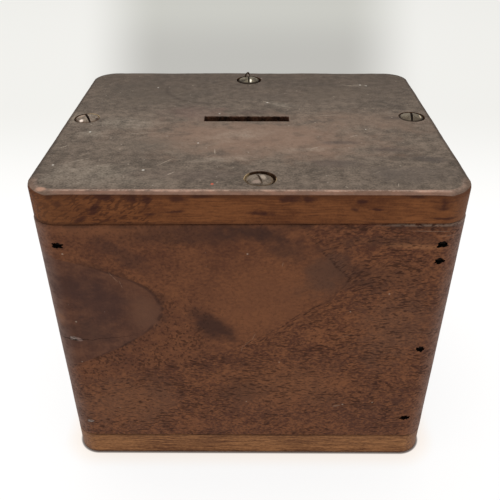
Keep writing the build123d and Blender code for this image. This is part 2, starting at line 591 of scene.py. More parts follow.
def make_lid():
    """The lid: worn round its top edge, with the slot and four countersinks cut out."""
    below = 6.0
    arris = 0.3
    arris_steps = 8
    profile = [
        (lid_low.z, arris, 0.2, 0.0, 0.0),
        (lid_low.z + arris, 0.0, 0.1, 0.0, 0.0),
        (lid_low.z + 3.5, 0.0, 0.1, 0.0, 0.0),
        (lid_low.z + 6.5, 0.0, 0.1, 0.0, 0.0),
    ]
    for step in range(arris_steps + 1):
        share = step / arris_steps
        sunk = (1 - share) ** 1.8
        profile.append((lid_top - arris_drop * sunk, arris_run * share, 0.1 + 0.3 * share,
                        0.2 * (1 - share), corner_drop * sunk))
    profile.append((lid_top, arris_run + 3.0, 0.0, 0.0, 0.0))
    lid = board("lid_board", lid_low, lid_high, lid_corner, profile, 3.0)
    slot = make_piece("cutter", [skin([
        slot_ring(wall_top - below, 0.25 * slot_fray, 0.0),
        slot_ring(lid_top - 2.5, 0.4 * slot_fray, 0.0),
        slot_ring(lid_top - 0.35, slot_fray, 0.0),
        slot_ring(lid_top + 0.02, slot_fray, 0.3),
        slot_ring(lid_top + 2, slot_fray, 0.3),
    ])])
    cut_out(lid, 1, *[lid_hole(side) for side in screw_fits])
    return shade(cut_out(lid, 2, slot))


lid = make_lid()
print("lid", len(lid.data.vertices), "points")

# %% [markdown]
# ## Nails and their seats
#
# The walls are held by cut nails, which are stamped from sheet iron: flat, and narrower
# towards the end. A nail is a stack of small rectangles with rough edges. The punch that sank
# the front ones left ragged holes round their heads, so each of their seats has a wider, torn
# mouth. From one of them a crack runs along the grain.

# %% Nails
nail_gauge = 1.5
nail_head_width = 2.7
nail_head_thickness = 1.0
nail_shank_width = 2.1
nail_end_width = 0.9
nail_length = 38.0
crack_start = -69.5
crack_run = 28.0
crack_level = 60.9

# The nails whose heads the punch never reached
proud_nails = ("front_brad_left_middle", "front_brad_left_bottom")
front_nails = [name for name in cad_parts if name.startswith("front_brad")]
back_nails = [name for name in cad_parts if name.startswith("back_brad")]
base_nails = [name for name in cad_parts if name.startswith("base_brad")]


def nail_ring(width, gauge, level, roughness, seed):
    """A small rectangle with uneven sides, round a nail that points down."""
    steps = 5
    ring = []
    edges = [((1, -1), (1, 1)), ((1, 1), (-1, 1)), ((-1, 1), (-1, -1)), ((-1, -1), (1, -1))]
    for (x0, y0), (x1, y1) in edges:
        for step in range(steps):
            share = step / steps
            x = (x0 + (x1 - x0) * share) * width / 2
            y = (y0 + (y1 - y0) * share) * gauge / 2
            rough = roughness * (0.5 + 0.5 * noise.noise(Vector((1.7 * x, 1.7 * y, level + seed))))
            ring.append((x * (1 - rough), y * (1 - rough), level))
    return ring


def nail_rings(clearance, roughness, seed):
    """The whole nail from its end up to its head, or its seat with a clearance."""
    wider = 2 * clearance
    levels = [(nail_end_width, -nail_length), (nail_end_width, -nail_length + 0.3)]
    shank_steps = 14
    for step in range(1, shank_steps + 1):
        share = step / shank_steps
        width = nail_end_width + (nail_shank_width - nail_end_width) * share
        levels.append((width, -nail_length + (nail_length - nail_head_thickness) * share))
    levels += [(nail_head_width, -nail_head_thickness + 0.02), (nail_head_width, -0.15),
               (nail_head_width - 0.3, 0.0)]
    return [nail_ring(width + wider, nail_gauge + wider, level, roughness, seed)
            for width, level in levels]


def nail_place(node):
    """The middle of the top of a nail's head, and the turn that points the nail there."""
    low, high = corners(node)
    middle = (low + high) / 2
    if node.startswith("front"):
        return Vector((middle.x, low.y, middle.z)), Matrix.Rotation(math.pi / 2, 3, "X")
    if node.startswith("back"):
        return Vector((middle.x, high.y, middle.z)), Matrix.Rotation(-math.pi / 2, 3, "X")
    return Vector((middle.x, middle.y, low.z)), Matrix.Rotation(math.pi, 3, "X")


def torn_mouth(seed, wide):
    """The hole that the punch left over a nail's head: wide, with torn corners."""
    steps = 32
    rings = []
    for level, grow in ((-0.35, 0.8), (0.5, 0.95), (1.3, 1.08), (5.0, 1.12)):
        ring = []
        for step in range(steps):
            angle = 2 * math.pi * step / steps
            torn = noise.noise(Vector((2.4 * math.cos(angle), 2.4 * math.sin(angle), seed)))
            torn += 0.5 * noise.noise(Vector((5 * math.cos(angle), 5 * math.sin(angle), seed)))
            reach = grow * wide * (1 + 0.6 * torn)
            ring.append((1.5 * reach * math.cos(angle), 0.9 * reach * math.sin(angle), level))
        rings.append(ring)
    return skin(rings)


def crack_cutter():
    """A crack that runs through the left middle nail to the right, along the grain."""
    steps = 60
    rings = []
    for step in range(steps + 1):
        share = step / steps
        x = crack_start + crack_run * share
        z = crack_level + 3.6 * max(0.0, share - 0.45) + 0.5 * noise.noise(Vector((x * 0.35, 0, 4)))
        ragged = 0.7 + 0.9 * noise.noise(Vector((x * 0.9, 2, 0)))
        gape = 0.06 + ragged * (0.10 * (1 - share) + 0.55 * max(0.0, 1 - 2.6 * share))
        front = -box_half.y - 1
        rings.append([(x, front, z - gape), (x, front + 3.6 - 1.6 * share, z), (x, front, z + gape)])
    return make_piece("cutter", [skin(rings)])


def nail_seat(node, seed):
    """What a nail took out of the boards: its own shape, and the punch's hole above it."""
    place, turn = nail_place(node)
    shapes = [skin(nail_rings(0.04, 0.0, 0))]
    if node.startswith("front"):
        shapes.append(torn_mouth(seed, 0.95 if node in proud_nails else 1.15))
    return [make_piece("cutter", [shape], place, turn) for shape in shapes]


def make_nail(node, seed):
    """One cut nail with a rough skin."""
    place, turn = nail_place(node)
    return shade(make_piece(f"{node}_iron", [skin(nail_rings(0.0, 0.14, seed))], place, turn))


nails = {node: make_nail(node, seed) for seed, node in enumerate(front_nails + back_nails + base_nails)}
print(len(nails), "nails")

# %% [markdown]
# ## Walls and base
#
# The front and back panels run the whole width of the box, and the ends butt between them.
# Each wall is a stack of its outline with a small worn edge at the joints. The hand-planed
# faces aren't quite flat, so wear draws each ring in by up to a tenth of a millimetre.

# %% Walls and base
joint_arris = 0.3
foot_arris = 0.3


def wall_profile(foot, top):
    """Levels up a wall, drawn in at its foot and its top."""
    levels = 30
    rises = [foot + joint_arris + (top - foot - 2 * joint_arris) * step / levels
             for step in range(levels + 1)]
    return [(foot, joint_arris, 0.2, 0.0, 0.0), *[(rise, 0.0, 0.1, 0.0, 0.0) for rise in rises],
            (top, joint_arris, 0.22, 0.0, 0.0)]


def make_walls():
    """The base and the four walls, with the seats of nails and screws cut out."""
    boards = {}
    for seed, node in enumerate(("front_panel", "back_panel", "left_end", "right_end")):
        low, high = corners(node)
        profile = wall_profile(low.z, high.z)
        boards[node] = board(f"{node}_board", low, high, wall_corner, profile, 10.0 + seed)
    profile = [(level, inset, 0.12, 0.0, 0.0) for level, inset in (
        (base_low.z, foot_arris), (base_low.z + foot_arris, 0.0), (4.0, 0.0), (7.0, 0.0),
        (base_high.z - joint_arris, 0.0), (base_high.z, joint_arris))]
    boards["base"] = board("base_board", base_low, base_high, wall_corner, profile, 20.0)
    return boards


walls = make_walls()


def reaches(node, cutter):
    """True if a cutter's box meets a board's box."""
    low, high = corners(node)
    spots = [cutter.matrix_world @ Vector(spot) / MM for spot in cutter.bound_box]
    return all(min(spot[axis] for spot in spots) < high[axis]
               and max(spot[axis] for spot in spots) > low[axis] for axis in range(3))


def cut_seats(node, wall):
    """Cuts out of one board all the seats that reach it."""
    cutters = [pilot_hole(side) for side in screw_fits]
    for seed, nail in enumerate(nails):
        cutters += nail_seat(nail, 5.0 * seed)
    cutters.append(crack_cutter())
    bpy.context.view_layer.update()
    near = [cutter for cutter in cutters if reaches(node, cutter)]
    for cutter in cutters:
        if cutter not in near:
            bpy.data.objects.remove(cutter)
    return shade(cut_out(wall, 1, *near))


for node, wall in walls.items():
    cut_seats(node, wall)
    print(node, len(wall.data.vertices), "points")

# %% [markdown]
# ## Screws
#
# Slotted wood screws have a cone under a raised head, a smooth neck and a thread that a
# screw-cutting lathe left sharp at its crest. The thread is made by moving each point of the
# stack of circles outwards where the helix passes it, which keeps the skin closed. The slot is
# then cut across the head. A driver that slipped has torn up a curl of metal on the back screw.

# %% Screws
dome = 1.1
point_length = 5.0
thread_top = -11.5
thread_pitch = 1.95
thread_core = 1.65
neck_radius = shank_radius - 0.05
neck_foot = -9.0
dome_radius = (head_radius**2 + dome**2) / (2 * dome)

# How wide each screw's slot is, and how far below the top of its head the dirt in it lies
slot_looks = {"front": (0.55, 0.6), "back": (0.5, 1.0), "left": (0.75, 1.3), "right": (0.85, 1.3)}


def thread_radius(level, angle):
    """The skin's distance from the screw's middle in the threaded part."""
    turn = (level / thread_pitch - angle / (2 * math.pi)) % 1.0
    ridge = max(0.0, 1 - abs(turn - 0.5) / 0.26)
    point = min(1.0, (level + screw_length) / point_length + 0.02)
    runout = min(1.0, max(0.0, (thread_top - level) / thread_pitch))
    core = thread_core + (neck_radius - thread_core) * (1 - runout)
    crest = core + (shank_radius - core) * ridge * runout
    return max(0.03, point) ** 0.8 * crest


def screw_rings(seed):
    """Rings from the screw's point up over its head."""
    steps = 56
    turns = [2 * math.pi * step / steps for step in range(steps)]
    rings = []
    thread_levels = 200
    for level_step in range(thread_levels + 1):
        level = -screw_length + (thread_top + screw_length) * level_step / thread_levels
        rings.append([(thread_radius(level, turn) * math.cos(turn),
                       thread_radius(level, turn) * math.sin(turn), level) for turn in turns])
    neck = -head_rim - (head_radius - shank_radius)
    rings += [circle(neck_radius, neck_foot, steps), circle(neck_radius, neck, steps),
              circle(shank_radius + 0.35, neck + 0.4, steps), circle(head_radius, -head_rim, steps),
              circle(head_radius, -0.1, steps)]
    rim_angle = math.asin(head_radius / dome_radius)
    dome_steps = 9
    for step in range(dome_steps):
        angle = rim_angle * (1 - step / dome_steps) * 0.985
        level = dome - dome_radius * (1 - math.cos(angle))
        ring = circle(dome_radius * math.sin(angle), level, steps)
        dents = [0.07 * worn(3 * x, 3 * y, 0, 4.0, seed) for x, y, _ in ring]
        rings.append([(x, y, z - dent) for (x, y, z), dent in zip(ring, dents)])
    rings.append(circle(0.12, dome - 0.05, steps))
    return rings


def slot_cutter(side, seed):
    """The open part of a screw's slot, which is straight and a little battered at its edges."""
    wide, deep = slot_looks[side]
    steps = 16
    rings = []
    levels = ((dome - deep, -0.1), (dome - deep / 2, 0.0), (dome - 0.15, 0.1), (dome + 0.4, 0.3))
    for level, grow in levels:
        ring = []
        for way in (1, -1):
            for step in range(steps + 1):
                y = way * (head_radius + 1) * (2 * step / steps - 1)
                batter = 0.5 + 0.5 * noise.noise(Vector((y * 0.9, 4 * way, seed)))
                ring.append((way * (wide / 2 + grow * batter), y, level))
        rings.append(ring)
    return skin(rings)


def torn_sliver():
    """A thick curl of metal that arches up beside the back screw's slot and ends in the air."""
    steps = 18
    rings = []
    for step in range(steps + 1):
        share = step / steps
        angle = math.pi * (1.0 - 0.86 * share)
        gauge = 0.36 - 0.22 * share
        middle = Vector((1.05 * math.cos(angle), 2.4, 2.5 * math.sin(angle) ** 0.8))
        out = Vector((math.cos(angle), 0, math.sin(angle)))
        side = Vector((0, 0.5 - 0.15 * share, 0.25 * math.sin(2 * angle)))
        rings.append([middle + out * gauge - side, middle - out * gauge - side,
                      middle - out * gauge + side, middle + out * gauge + side])
    return skin(rings)


def make_screw(side):
    """One screw, its slot cut at the angle that the hand left it at."""
    turn = math.radians(screw_fits[side][2])
    node = f"lid_screw_{side}"
    seed = 7.0 * list(screw_fits).index(side)
    screw = make_piece(f"{node}_steel", [skin(screw_rings(seed))], screw_place(side))
    cutter = make_piece("cutter", [slot_cutter(side, seed)], screw_place(side),
                        Matrix.Rotation(turn, 3, "Z"))
    cut_out(screw, 1, cutter)
    return shade(screw)


screws = {side: make_screw(side) for side in screw_fits}
sliver = shade(make_piece("lid_screw_back_sliver", [torn_sliver()], screw_place("back"),
                          Matrix.Rotation(0.2, 3, "Z")))
print({side: len(screw.data.vertices) for side, screw in screws.items()})

# %% [markdown]
# ## Wood, fleck by fleck
#
# This wood is dense and brown, with short dark pores that lie along the grain. A tree's pores
# run through the whole board, so the pattern is worked out in the solid: noise that is drawn
# out along the board shows flecks on its faces and small dots on its ends. Marks that only one
# face has, such as a knot's shadow or a scratch, are ovals with a middle, a size and a turn. A
# material can hold only so many wires at a time, so a long row of marks goes on one wire: the
# one that is nearest at each point.

# %% Helpers for wood
polished_shine = 0.09
dull_shine = 0.05
lint = (160, 142, 126)


def oval(place, middle, size, turn=(0.0, 0.0, 0.0)):
    """Distance from the middle of an oval mark: 0 there and 1 at its edge."""
    off = place.vector("SUBTRACT", middle)
    if any(turn):
        inputs = {"Vector": off, "Rotation": [math.radians(angle) for angle in turn]}
        off = off.node("VectorRotate", {"rotation_type": "EULER_XYZ", "invert": True}, inputs)
    off = off.vector("DIVIDE", size)
    return off.node("VectorMath", {"operation": "LENGTH"}, {0: off}, output=1)


def front_mark(place, x, z, wide, high, turn=0.0):
    """An oval mark on the front, turned anticlockwise."""
    return oval(place, (x, -box_half.y, z), (wide, 30.0, high), (0.0, -turn, 0.0))


def lid_mark(place, x, y, wide, long, turn=0.0):
    """An oval mark on the lid's top, turned anticlockwise."""
    return oval(place, (x, y, lid_top), (wide, long, 8.0), (0.0, 0.0, turn))


def hill(distance):
    """A smooth hill, 1 in the middle of a mark and 0 far from it."""
    return (distance * distance * -1.0).maths("EXPONENT")


def streaks(along, across, depth, length, width, shift, detail=1.5):
    """Noise drawn out along the grain, from 0 to 1."""
    inputs = {0: along * (1 / length) + shift, 1: across * (1 / width), 2: depth * (1 / width)}
    place = along.node("CombineXYZ", {}, inputs)
    return place.node("TexNoise", {}, {"Vector": place, "Scale": 1.0, "Detail": detail,
                                       "Roughness": 0.55})


def slanted(along, across, angle):
    """Both directions along and across a grain that climbs at an angle."""
    rise, run = math.sin(math.radians(angle)), math.cos(math.radians(angle))
    return along * run + across * rise, across * run - along * rise


def surface(shader, colour, roughness, shine, height, depth):
    """Gives a shader its colour, roughness and shine, and small hills of a height from 0 to 1
    and a depth in millimetres."""
    hills = height.node("Bump", {}, {"Strength": 1.0, "Distance": depth * MM, "Height": height})
    feed(shader, Base_Color=colour, Roughness=roughness, Normal=hills)
    shader.inputs["Specular IOR Level"].default_value = shine


def dust(along, across, cell, share, radius):
    """Small specks on a face: one in each chosen cell of a scattered net."""
    face = along.node("CombineXYZ", {}, {0: along, 1: across})
    net = {"Vector": face, "Scale": 1 / cell}
    nearness = face.node("TexVoronoi", {"voronoi_dimensions": "2D"}, net) * cell
    chance = face.node("TexVoronoi", {"voronoi_dimensions": "2D"}, net, output=1).parts()[0]
    size = chance.step(1 - share, 1.0) * radius
    return (size - nearness).step(0.0, radius * 0.4)


def nearest(spreads):
    """The smallest of some wires at each point, which keeps a row of marks to one wire."""
    return functools.reduce(Wire.smaller, spreads)


def raw_wood(place, outside, inner):
    """Wood that no polish ever reached, where the wire inner is 1."""
    x, y, z = place.parts()
    grain = streaks(x, z, y, 12.0, 0.6, 71.0, 2.5)
    saw = place.noise(2.5, 3.0, stretch=(1, 1, 3), shift=73.0)
    raw = (grain * 0.7 + saw * 0.4).step(0.4, 0.75).mix(tone(92, 66, 46), tone(138, 106, 76))
    return inner.mix(outside, raw)


# %% [markdown]
# ## The front panel
#
# The front shows one wild board. A smooth oval lies at its left and a smooth lobe hangs down
# from its top edge, both where the saw passed close to a knot. Between them the pores stand
# end-on and look like dots; under the lobe they climb beside its hem, and further down and
# to the right they lie flat.

# %% Front panel
# Shadows and lights in the front's wood: x, z, half width, half height, turn, colour, strength
front_shades = [
    (4.0, 78.0, 22.0, 14.0, 25.0, (112, 70, 45), 0.50),
    (25.0, 89.5, 7.5, 11.0, -28.0, (80, 54, 41), 0.75),
    (-12.0, 67.2, 9.6, 5.0, -33.0, (46, 27, 22), 0.80),
    (-3.0, 36.5, 12.0, 6.0, 8.0, (58, 33, 24), 0.60),
    (-61.0, 84.0, 9.0, 8.0, 20.0, (54, 34, 30), 0.60),
    (-50.0, 77.0, 11.0, 9.0, 0.0, (58, 37, 32), 0.55),
    (-41.0, 97.5, 10.0, 3.6, -38.0, (54, 34, 29), 0.50),
    (-24.0, 105.5, 22.0, 4.0, 0.0, (62, 39, 29), 0.55),
    (3.0, 106.0, 12.0, 3.4, -8.0, (46, 29, 25), 0.70),
    (12.0, 99.0, 7.0, 5.0, 0.0, (60, 39, 31), 0.50),
    (-50.0, 107.0, 18.0, 2.4, 0.0, (112, 70, 45), 0.55),
    (54.0, 101.0, 9.0, 1.1, -3.0, (140, 94, 62), 0.65),
    (-36.5, 74.5, 6.0, 8.0, 0.0, (98, 66, 49), 0.60),
    (-60.0, 64.0, 12.0, 6.0, 0.0, (62, 41, 33), 0.45),
    (-66.0, 70.0, 2.2, 3.4, 0.0, (124, 84, 60), 0.55),
    (14.0, 38.0, 26.0, 12.0, 0.0, (116, 75, 49), 0.40),
    (-46.0, 28.0, 18.0, 14.0, 0.0, (110, 73, 50), 0.45),
    (50.0, 66.0, 14.0, 18.0, 0.0, (106, 72, 52), 0.40),
    (44.0, 90.0, 20.0, 6.0, 0.0, (76, 49, 35), 0.45),
    (48.0, 103.0, 18.0, 2.0, 0.0, (70, 46, 34), 0.40),
]

# Fine pale scratches in the polish: x, z, half length, half width, turn
front_scratches = [
    (1.6, 62.6, 2.6, 0.14, 68.0),
    (-0.8, 59.4, 2.4, 0.12, 50.0),
    (-2.6, 57.0, 1.8, 0.12, 80.0),
    (11.0, 94.0, 1.4, 0.14, 80.0),
    (-45.2, 88.5, 3.0, 0.14, -55.0),
    (-43.0, 85.6, 2.0, 0.14, -75.0),
    (33.5, 27.5, 2.0, 0.5, 15.0),
    (34.0, 63.0, 3.0, 0.10, 25.0),
    (-50.0, 26.0, 0.5, 0.35, 0.0),
    (58.0, 106.8, 9.0, 0.16, -1.0),
    (63.0, 105.0, 4.0, 0.14, 0.0),
]


def front_finish():
    """Satin-brown wild wood."""
    material, shader, place = new_material("front_panel_wood")
    x, y, z = place.parts()
    ripple = place.noise(6.0, 1.0, shift=6.0) - 0.5
    warp = place.noise(24.0, 1.0, shift=2.0) - 0.5
    cloud = place.noise(14.0, 3.0, shift=14.0)
    mottle = place.noise(3.0, 2.0, stretch=(1.5, 1.5, 1), shift=11.0)
    fine = place.noise(0.75, 1.0, stretch=(1.4, 1.4, 1), shift=3.0)
    crowd = place.noise(8.0, 2.0, stretch=(1.4, 1.4, 1), shift=4.0)
    level = z + warp * 7.0 + ripple * 1.8 + hill(front_mark(place, 4, 92, 36, 34)) * 9.0

    # The lobe with its hem, and the smooth oval of the knot with its rim
    hem_line = (x * 0.3 + 57.8).larger(x * 0.7 + 60.5).larger(x * 1.3 + 45.0) + ripple * 5.0
    tip_line = 33.0 - (z - 88.0).larger(0.0) * 0.85 + ripple * 4.0
    inside = (z - hem_line).smaller(tip_line - x)
    lobe = inside.step(-0.3, 1.0)
    hem = inside.step(-9.0, -0.3) * (1.0 - lobe) * x.step(-16.0, 2.0)
    knot = x + 30.1 + (z - x * 0.1 - 78.6) ** 2.0 * (1 / 16.4) + ripple * 2.5
    bare = knot.step(0.7, -0.7)
    rim = knot.step(7.0, 0.4) * (1.0 - bare)
    calm = z.step(66.0, 88.0) * x.step(40.0, 0.0)
    dotted = lobe * x.step(-8.0, -22.0)

    # Pores: lying, climbing under the hem, and end-on as dots
    coarse = (streaks(x, level, y, 2.7, 0.72, 2.0) + crowd * 0.30).step(0.71, 0.80)
    short = (streaks(x, level, y, 1.5, 0.44, 12.0) + crowd * 0.20).step(0.65, 0.76)
    climb_along, climb_across = slanted(x, z + ripple * 2.0, 33.0)
    climbing = (streaks(climb_along, climb_across, y, 2.3, 0.55, 9.0) + crowd * 0.2).step(0.62, 0.73)
    lying = coarse.larger(short * 0.7) * (1.0 - hem) + climbing * hem
    dots = (place.noise(0.85, 1.0, shift=9.0) + crowd * 0.3 + rim * 0.06).step(0.70, 0.80)
    pores = (lying * (1.0 - lobe)).larger(dots * (lobe * 0.30 + dotted * 0.55)) * (1.0 - bare * 0.92)
    pores = pores * (1.0 - calm * 0.55)

    # The ground, then shades, lines, pores and marks over it
    loud = 1.0 - calm.larger(lobe) * 0.55
    ground = cloud * 0.30 + ((mottle - 0.5) * 0.35 + (fine - 0.5) * 0.62) * loud + 0.48
    colour = ground.step(0.45, 0.82).mix(tone(74, 42, 28), tone(114, 71, 45))
    upright = streaks(z, x + ripple * 3.0, y, 9.0, 0.6, 21.0)
    colour = (bare * 0.70).mix(colour, (upright * 0.4 + mottle * 0.8 + fine * 0.3).step(0.5, 1.1).mix(
        tone(64, 40, 32), tone(86, 57, 44)))
    for mark_x, mark_z, wide, high, turn, shade_tone, strength in front_shades:
        spread = front_mark(place, mark_x, mark_z, wide, high, turn) + (mottle + cloud - 1.0) * 1.2
        colour = (spread.step(1.35, 0.3) * strength).mix(colour, tone(*shade_tone))
    colour = (rim * (ripple + mottle - 0.5).step(-0.1, 0.15) * 0.5).mix(colour, tone(52, 31, 24))
    knot_line = knot.maths("ABSOLUTE").step(1.1, 0.2) * mottle.step(0.35, 0.6) * x.step(-60.0, -46.0)
    colour = (knot_line * 0.6).mix(colour, tone(46, 27, 21))
    hem_thread = (inside + 0.6).maths("ABSOLUTE").step(0.9, 0.2) * x.step(14.0, 24.0)
    colour = (hem_thread * fine.step(0.35, 0.6) * 0.5).mix(colour, tone(52, 31, 22))
    colour = (pores * 0.70).mix(colour, tone(42, 23, 15))
    seam_shadow = z.step(wall_top - 2.6, wall_top - 0.2)
    colour = (seam_shadow * (cloud + ripple).step(0.3, 0.6) * 0.6).mix(colour, tone(44, 27, 20))
    # Painted sheen: the rounded corners turn paler and greyer, in patches.
    corner_sheen = (x.maths("ABSOLUTE") - 61.5).step(0.0, 9.0) * (mottle + fine * 0.5).step(0.4, 0.9)
    colour = (corner_sheen * 0.5).mix(colour, tone(120, 99, 91))
    seam_dust = z.step(wall_top - 0.55, wall_top - 0.3) * x.step(36.0, 52.0) * fine.step(0.3, 0.5)
    colour = (seam_dust * 0.45).mix(colour, tone(132, 112, 98))
    chip = front_mark(place, -61.4, 61.3, 2.2, 0.9, -20).step(1.1, 0.7)
    colour = (chip * 0.8).mix(colour, tone(124, 102, 94))
    for mark_x, mark_z, wide, high, turn in front_scratches:
        scratch = front_mark(place, mark_x, mark_z, wide, high, turn).step(1.0, 0.5)
        colour = (scratch * (fine + 0.1).step(0.3, 0.6) * 0.4).mix(colour, tone(140, 116, 98))
    colour = (dust(x, z, 12.0, 0.3, 0.42) * 0.5).mix(colour, tone(*lint))
    colour = raw_wood(place, colour, from_side(x, y, wall_corner).step(1.0, 2.6))
    surface(shader, colour, 0.52 + pores * 0.2 + (cloud - 0.5) * 0.3, polished_shine,
            1.0 - pores * 0.5 + cloud * 0.8 + fine * 0.2, 0.10)
    return material


front_wood = front_finish()
print(len(front_shades), "shades and", len(front_scratches), "scratches on the front")

# %% [markdown]
# ## The other walls
#
# The photo shows the front only, so the other walls get the same wood with a calmer figure:
# short flecks along the grain, a few darker bands, and a painted grey sheen where the corners
# are rounded.

# %% Other walls
def wall_finish(name, turned, shift):
    """Satin-brown wood. A turned wall has its grain along the box's depth."""
    material, shader, place = new_material(name)
    x, y, z = place.parts()
    along, depth = (y, x) if turned else (x, y)
    ripple = place.noise(6.0, 1.0, shift=shift + 1) - 0.5
    warp = place.noise(30.0, 1.0, shift=shift + 2) - 0.5
    level = z + warp * 16.0 + ripple * 1.8
    cloud = place.noise(17.0, 3.0, shift=shift + 3)
    mottle = place.noise(3.4, 2.0, stretch=(1.5, 1.5, 1), shift=shift + 4)
    fine = place.noise(0.62, 1.0, stretch=(1.4, 1.4, 1), shift=shift + 5)
    crowd = place.noise(9.0, 2.0, stretch=(1.4, 1.4, 1), shift=shift + 6)
    bands = streaks(along, level, depth, 60.0, 3.2, shift + 7, 2.0)
    pores = (streaks(along, level, depth, 1.6, 0.36, shift + 8) + crowd * 0.32).step(0.69, 0.80)
    ground = cloud * 0.35 + mottle * 0.30 + fine * 0.45 + bands * 0.35
    colour = ground.step(0.52, 0.95).mix(tone(70, 43, 31), tone(116, 76, 51))
    colour = (bands.step(0.56, 0.72) * 0.35).mix(colour, tone(58, 37, 29))
    colour = (pores * 0.6).mix(colour, tone(44, 25, 17))
    # Painted sheen: the rounded corners turn paler and greyer, in patches.
    corner = (x.maths("ABSOLUTE") - 61.5).step(0.0, 7.0) * (y.maths("ABSOLUTE") - 50.0).step(0.0, 7.0)
    colour = (corner * (mottle + fine * 0.5).step(0.4, 0.9) * 0.45).mix(colour, tone(122, 100, 90))
    colour = (dust(along, z, 12.0, 0.3, 0.42) * 0.5).mix(colour, tone(*lint))
    colour = raw_wood(place, colour, from_side(x, y, wall_corner).step(1.0, 2.6))
    surface(shader, colour, 0.52 + pores * 0.2 + (cloud - 0.5) * 0.3, polished_shine,
            1.0 - pores * 0.5 + cloud * 0.8 + fine * 0.2, 0.10)
    return material


back_wood = wall_finish("back_panel_wood", False, 31.0)
end_wood = wall_finish("end_wood", True, 53.0)
print("walls finished")

# %% [markdown]
# ## The lid
#
# Hands and dust have turned the lid's top a dull grey-brown, with a redder patch in front of
# the slot where fewer hands went; towards the back the top is painted darker as shade. Its
# front edge kept the old orange-brown, and the arris between them is rubbed pale and painted
# paler still as a highlight, most of all at the front left corner. The colour is built in that
# order: the edge's wood, the top over it, then marks, and the rubbed, highlit arris last.

# %% Lid finish
# Patches on the lid's top: x, y, half width, half length, turn, colour, strength
lid_shades = [
    (4.0, -16.0, 42.0, 17.0, -4.0, (132, 106, 90), 0.65),
    (44.0, 0.0, 26.0, 10.0, -8.0, (124, 102, 87), 0.40),
    (-22.0, 8.0, 13.0, 7.0, 0.0, (108, 84, 76), 0.45),
    (0.0, 9.0, 6.0, 2.2, 0.0, (78, 62, 58), 0.50),
    (-36.0, -22.0, 10.0, 6.0, 0.0, (98, 88, 78), 0.50),
    (-22.0, -46.0, 16.0, 4.0, 0.0, (98, 84, 76), 0.40),
    (32.0, -20.0, 7.0, 1.7, 0.0, (74, 64, 60), 0.60),
    (47.0, -26.0, 8.0, 1.9, -3.0, (76, 65, 60), 0.60),
    (61.0, -34.0, 6.0, 2.2, -5.0, (72, 64, 60), 0.60),
    (30.0, -37.0, 9.0, 2.6, 0.0, (82, 72, 66), 0.55),
    (52.0, -45.0, 14.0, 6.0, 0.0, (86, 76, 69), 0.60),
    (56.0, 3.3, 5.0, 1.6, 0.0, (72, 62, 56), 0.65),
    (34.0, 30.0, 18.0, 9.0, 10.0, (98, 86, 74), 0.40),
    (-42.0, 30.0, 16.0, 14.0, 0.0, (86, 76, 66), 0.50),
    (8.0, 28.0, 14.0, 5.0, -8.0, (84, 74, 66), 0.45),
]

# Pale stippled scuffs on the lid's top: x, y, half width, half length, turn, strength
lid_scuffs = [
    (-47.0, -3.0, 12.0, 5.0, -6.0, 0.65),
    (-57.0, -12.0, 7.0, 5.0, 0.0, 0.40),
    (-68.0, 3.0, 3.0, 6.0, 0.0, 0.50),
    (-53.0, -45.0, 10.0, 6.0, 8.0, 0.95),
    (-40.0, -50.0, 20.0, 5.0, 0.0, 0.22),
    (20.0, -26.0, 11.0, 2.6, 4.0, 0.30),
    (-10.0, -34.0, 12.0, 2.8, 6.0, 0.40),
    (-4.0, -14.0, 18.0, 8.0, 10.0, 0.20),
    (48.0, 41.0, 7.0, 4.0, -12.0, 0.35),
    (12.0, 18.0, 9.0, 4.0, -20.0, 0.30),
]

# Dark marks on the lid's front edge: x, z, half width, half height, turn, strength
edge_marks = [
    (-44.2, 118.8, 2.2, 1.3, 0.0, 0.75),
    (-36.3, 117.9, 2.0, 1.6, 0.0, 0.70),
    (-31.7, 117.8, 1.8, 1.7, 0.0, 0.65),
    (-21.3, 118.0, 3.2, 1.5, 0.0, 0.60),
    (-15.0, 119.0, 6.0, 0.8, 0.0, 0.50),
    (-48.0, 114.6, 1.0, 2.6, -32.0, 0.80),
    (-52.6, 110.9, 2.2, 0.8, 22.0, 0.80),
    (-59.2, 116.2, 1.6, 1.1, -20.0, 0.65),
    (-61.4, 118.4, 1.5, 1.2, 0.0, 0.45),
    (-30.6, 112.8, 2.0, 0.6, 0.0, 0.55),
    (12.5, 118.0, 4.0, 1.7, 0.0, 0.60),
    (18.5, 118.1, 3.0, 1.5, 0.0, 0.50),
    (34.3, 117.4, 1.8, 0.9, 0.0, 0.65),
    (32.7, 114.6, 2.0, 0.9, 0.0, 0.45),
    (39.2, 114.6, 3.6, 0.5, -4.0, 0.55),
    (51.6, 119.2, 3.0, 0.8, 0.0, 0.60),
    (60.1, 116.0, 3.6, 3.4, 0.0, 0.40),
    (60.8, 111.4, 5.0, 0.5, 0.0, 0.60),
    (-24.0, 113.6, 8.0, 0.7, 4.0, 0.30),
    (4.0, 113.0, 9.0, 1.2, -6.0, 0.30),
]

# Pale scratches and rubbed lines on the lid's top: x, y, half length, half width, turn
lid_scratches = [
    (-64.9, -23.9, 3.2, 0.30, 45.0),
    (-25.4, -44.7, 2.6, 0.30, 48.0),
    (-57.0, -35.0, 5.0, 0.25, 32.0),
    (-40.0, -12.0, 7.0, 0.25, 6.0),
    (6.5, 20.5, 3.0, 0.35, -38.0),
    (14.0, 15.5, 4.5, 0.22, -20.0),
    (23.0, -24.5, 3.0, 0.25, 30.0),
    (44.0, 41.0, 5.0, 0.30, -12.0),
    (-28.0, -36.0, 4.5, 0.22, 50.0),
    (-12.0, -28.0, 0.25, 3.0, 4.0),
    (38.0, -14.0, 2.4, 0.3, 25.0),
    (30.0, 6.0, 6.0, 0.2, 8.0),
    (30.1, -53.6, 1.6, 0.2, -60.0),
    (46.6, -52.4, 1.8, 0.2, 80.0),
]

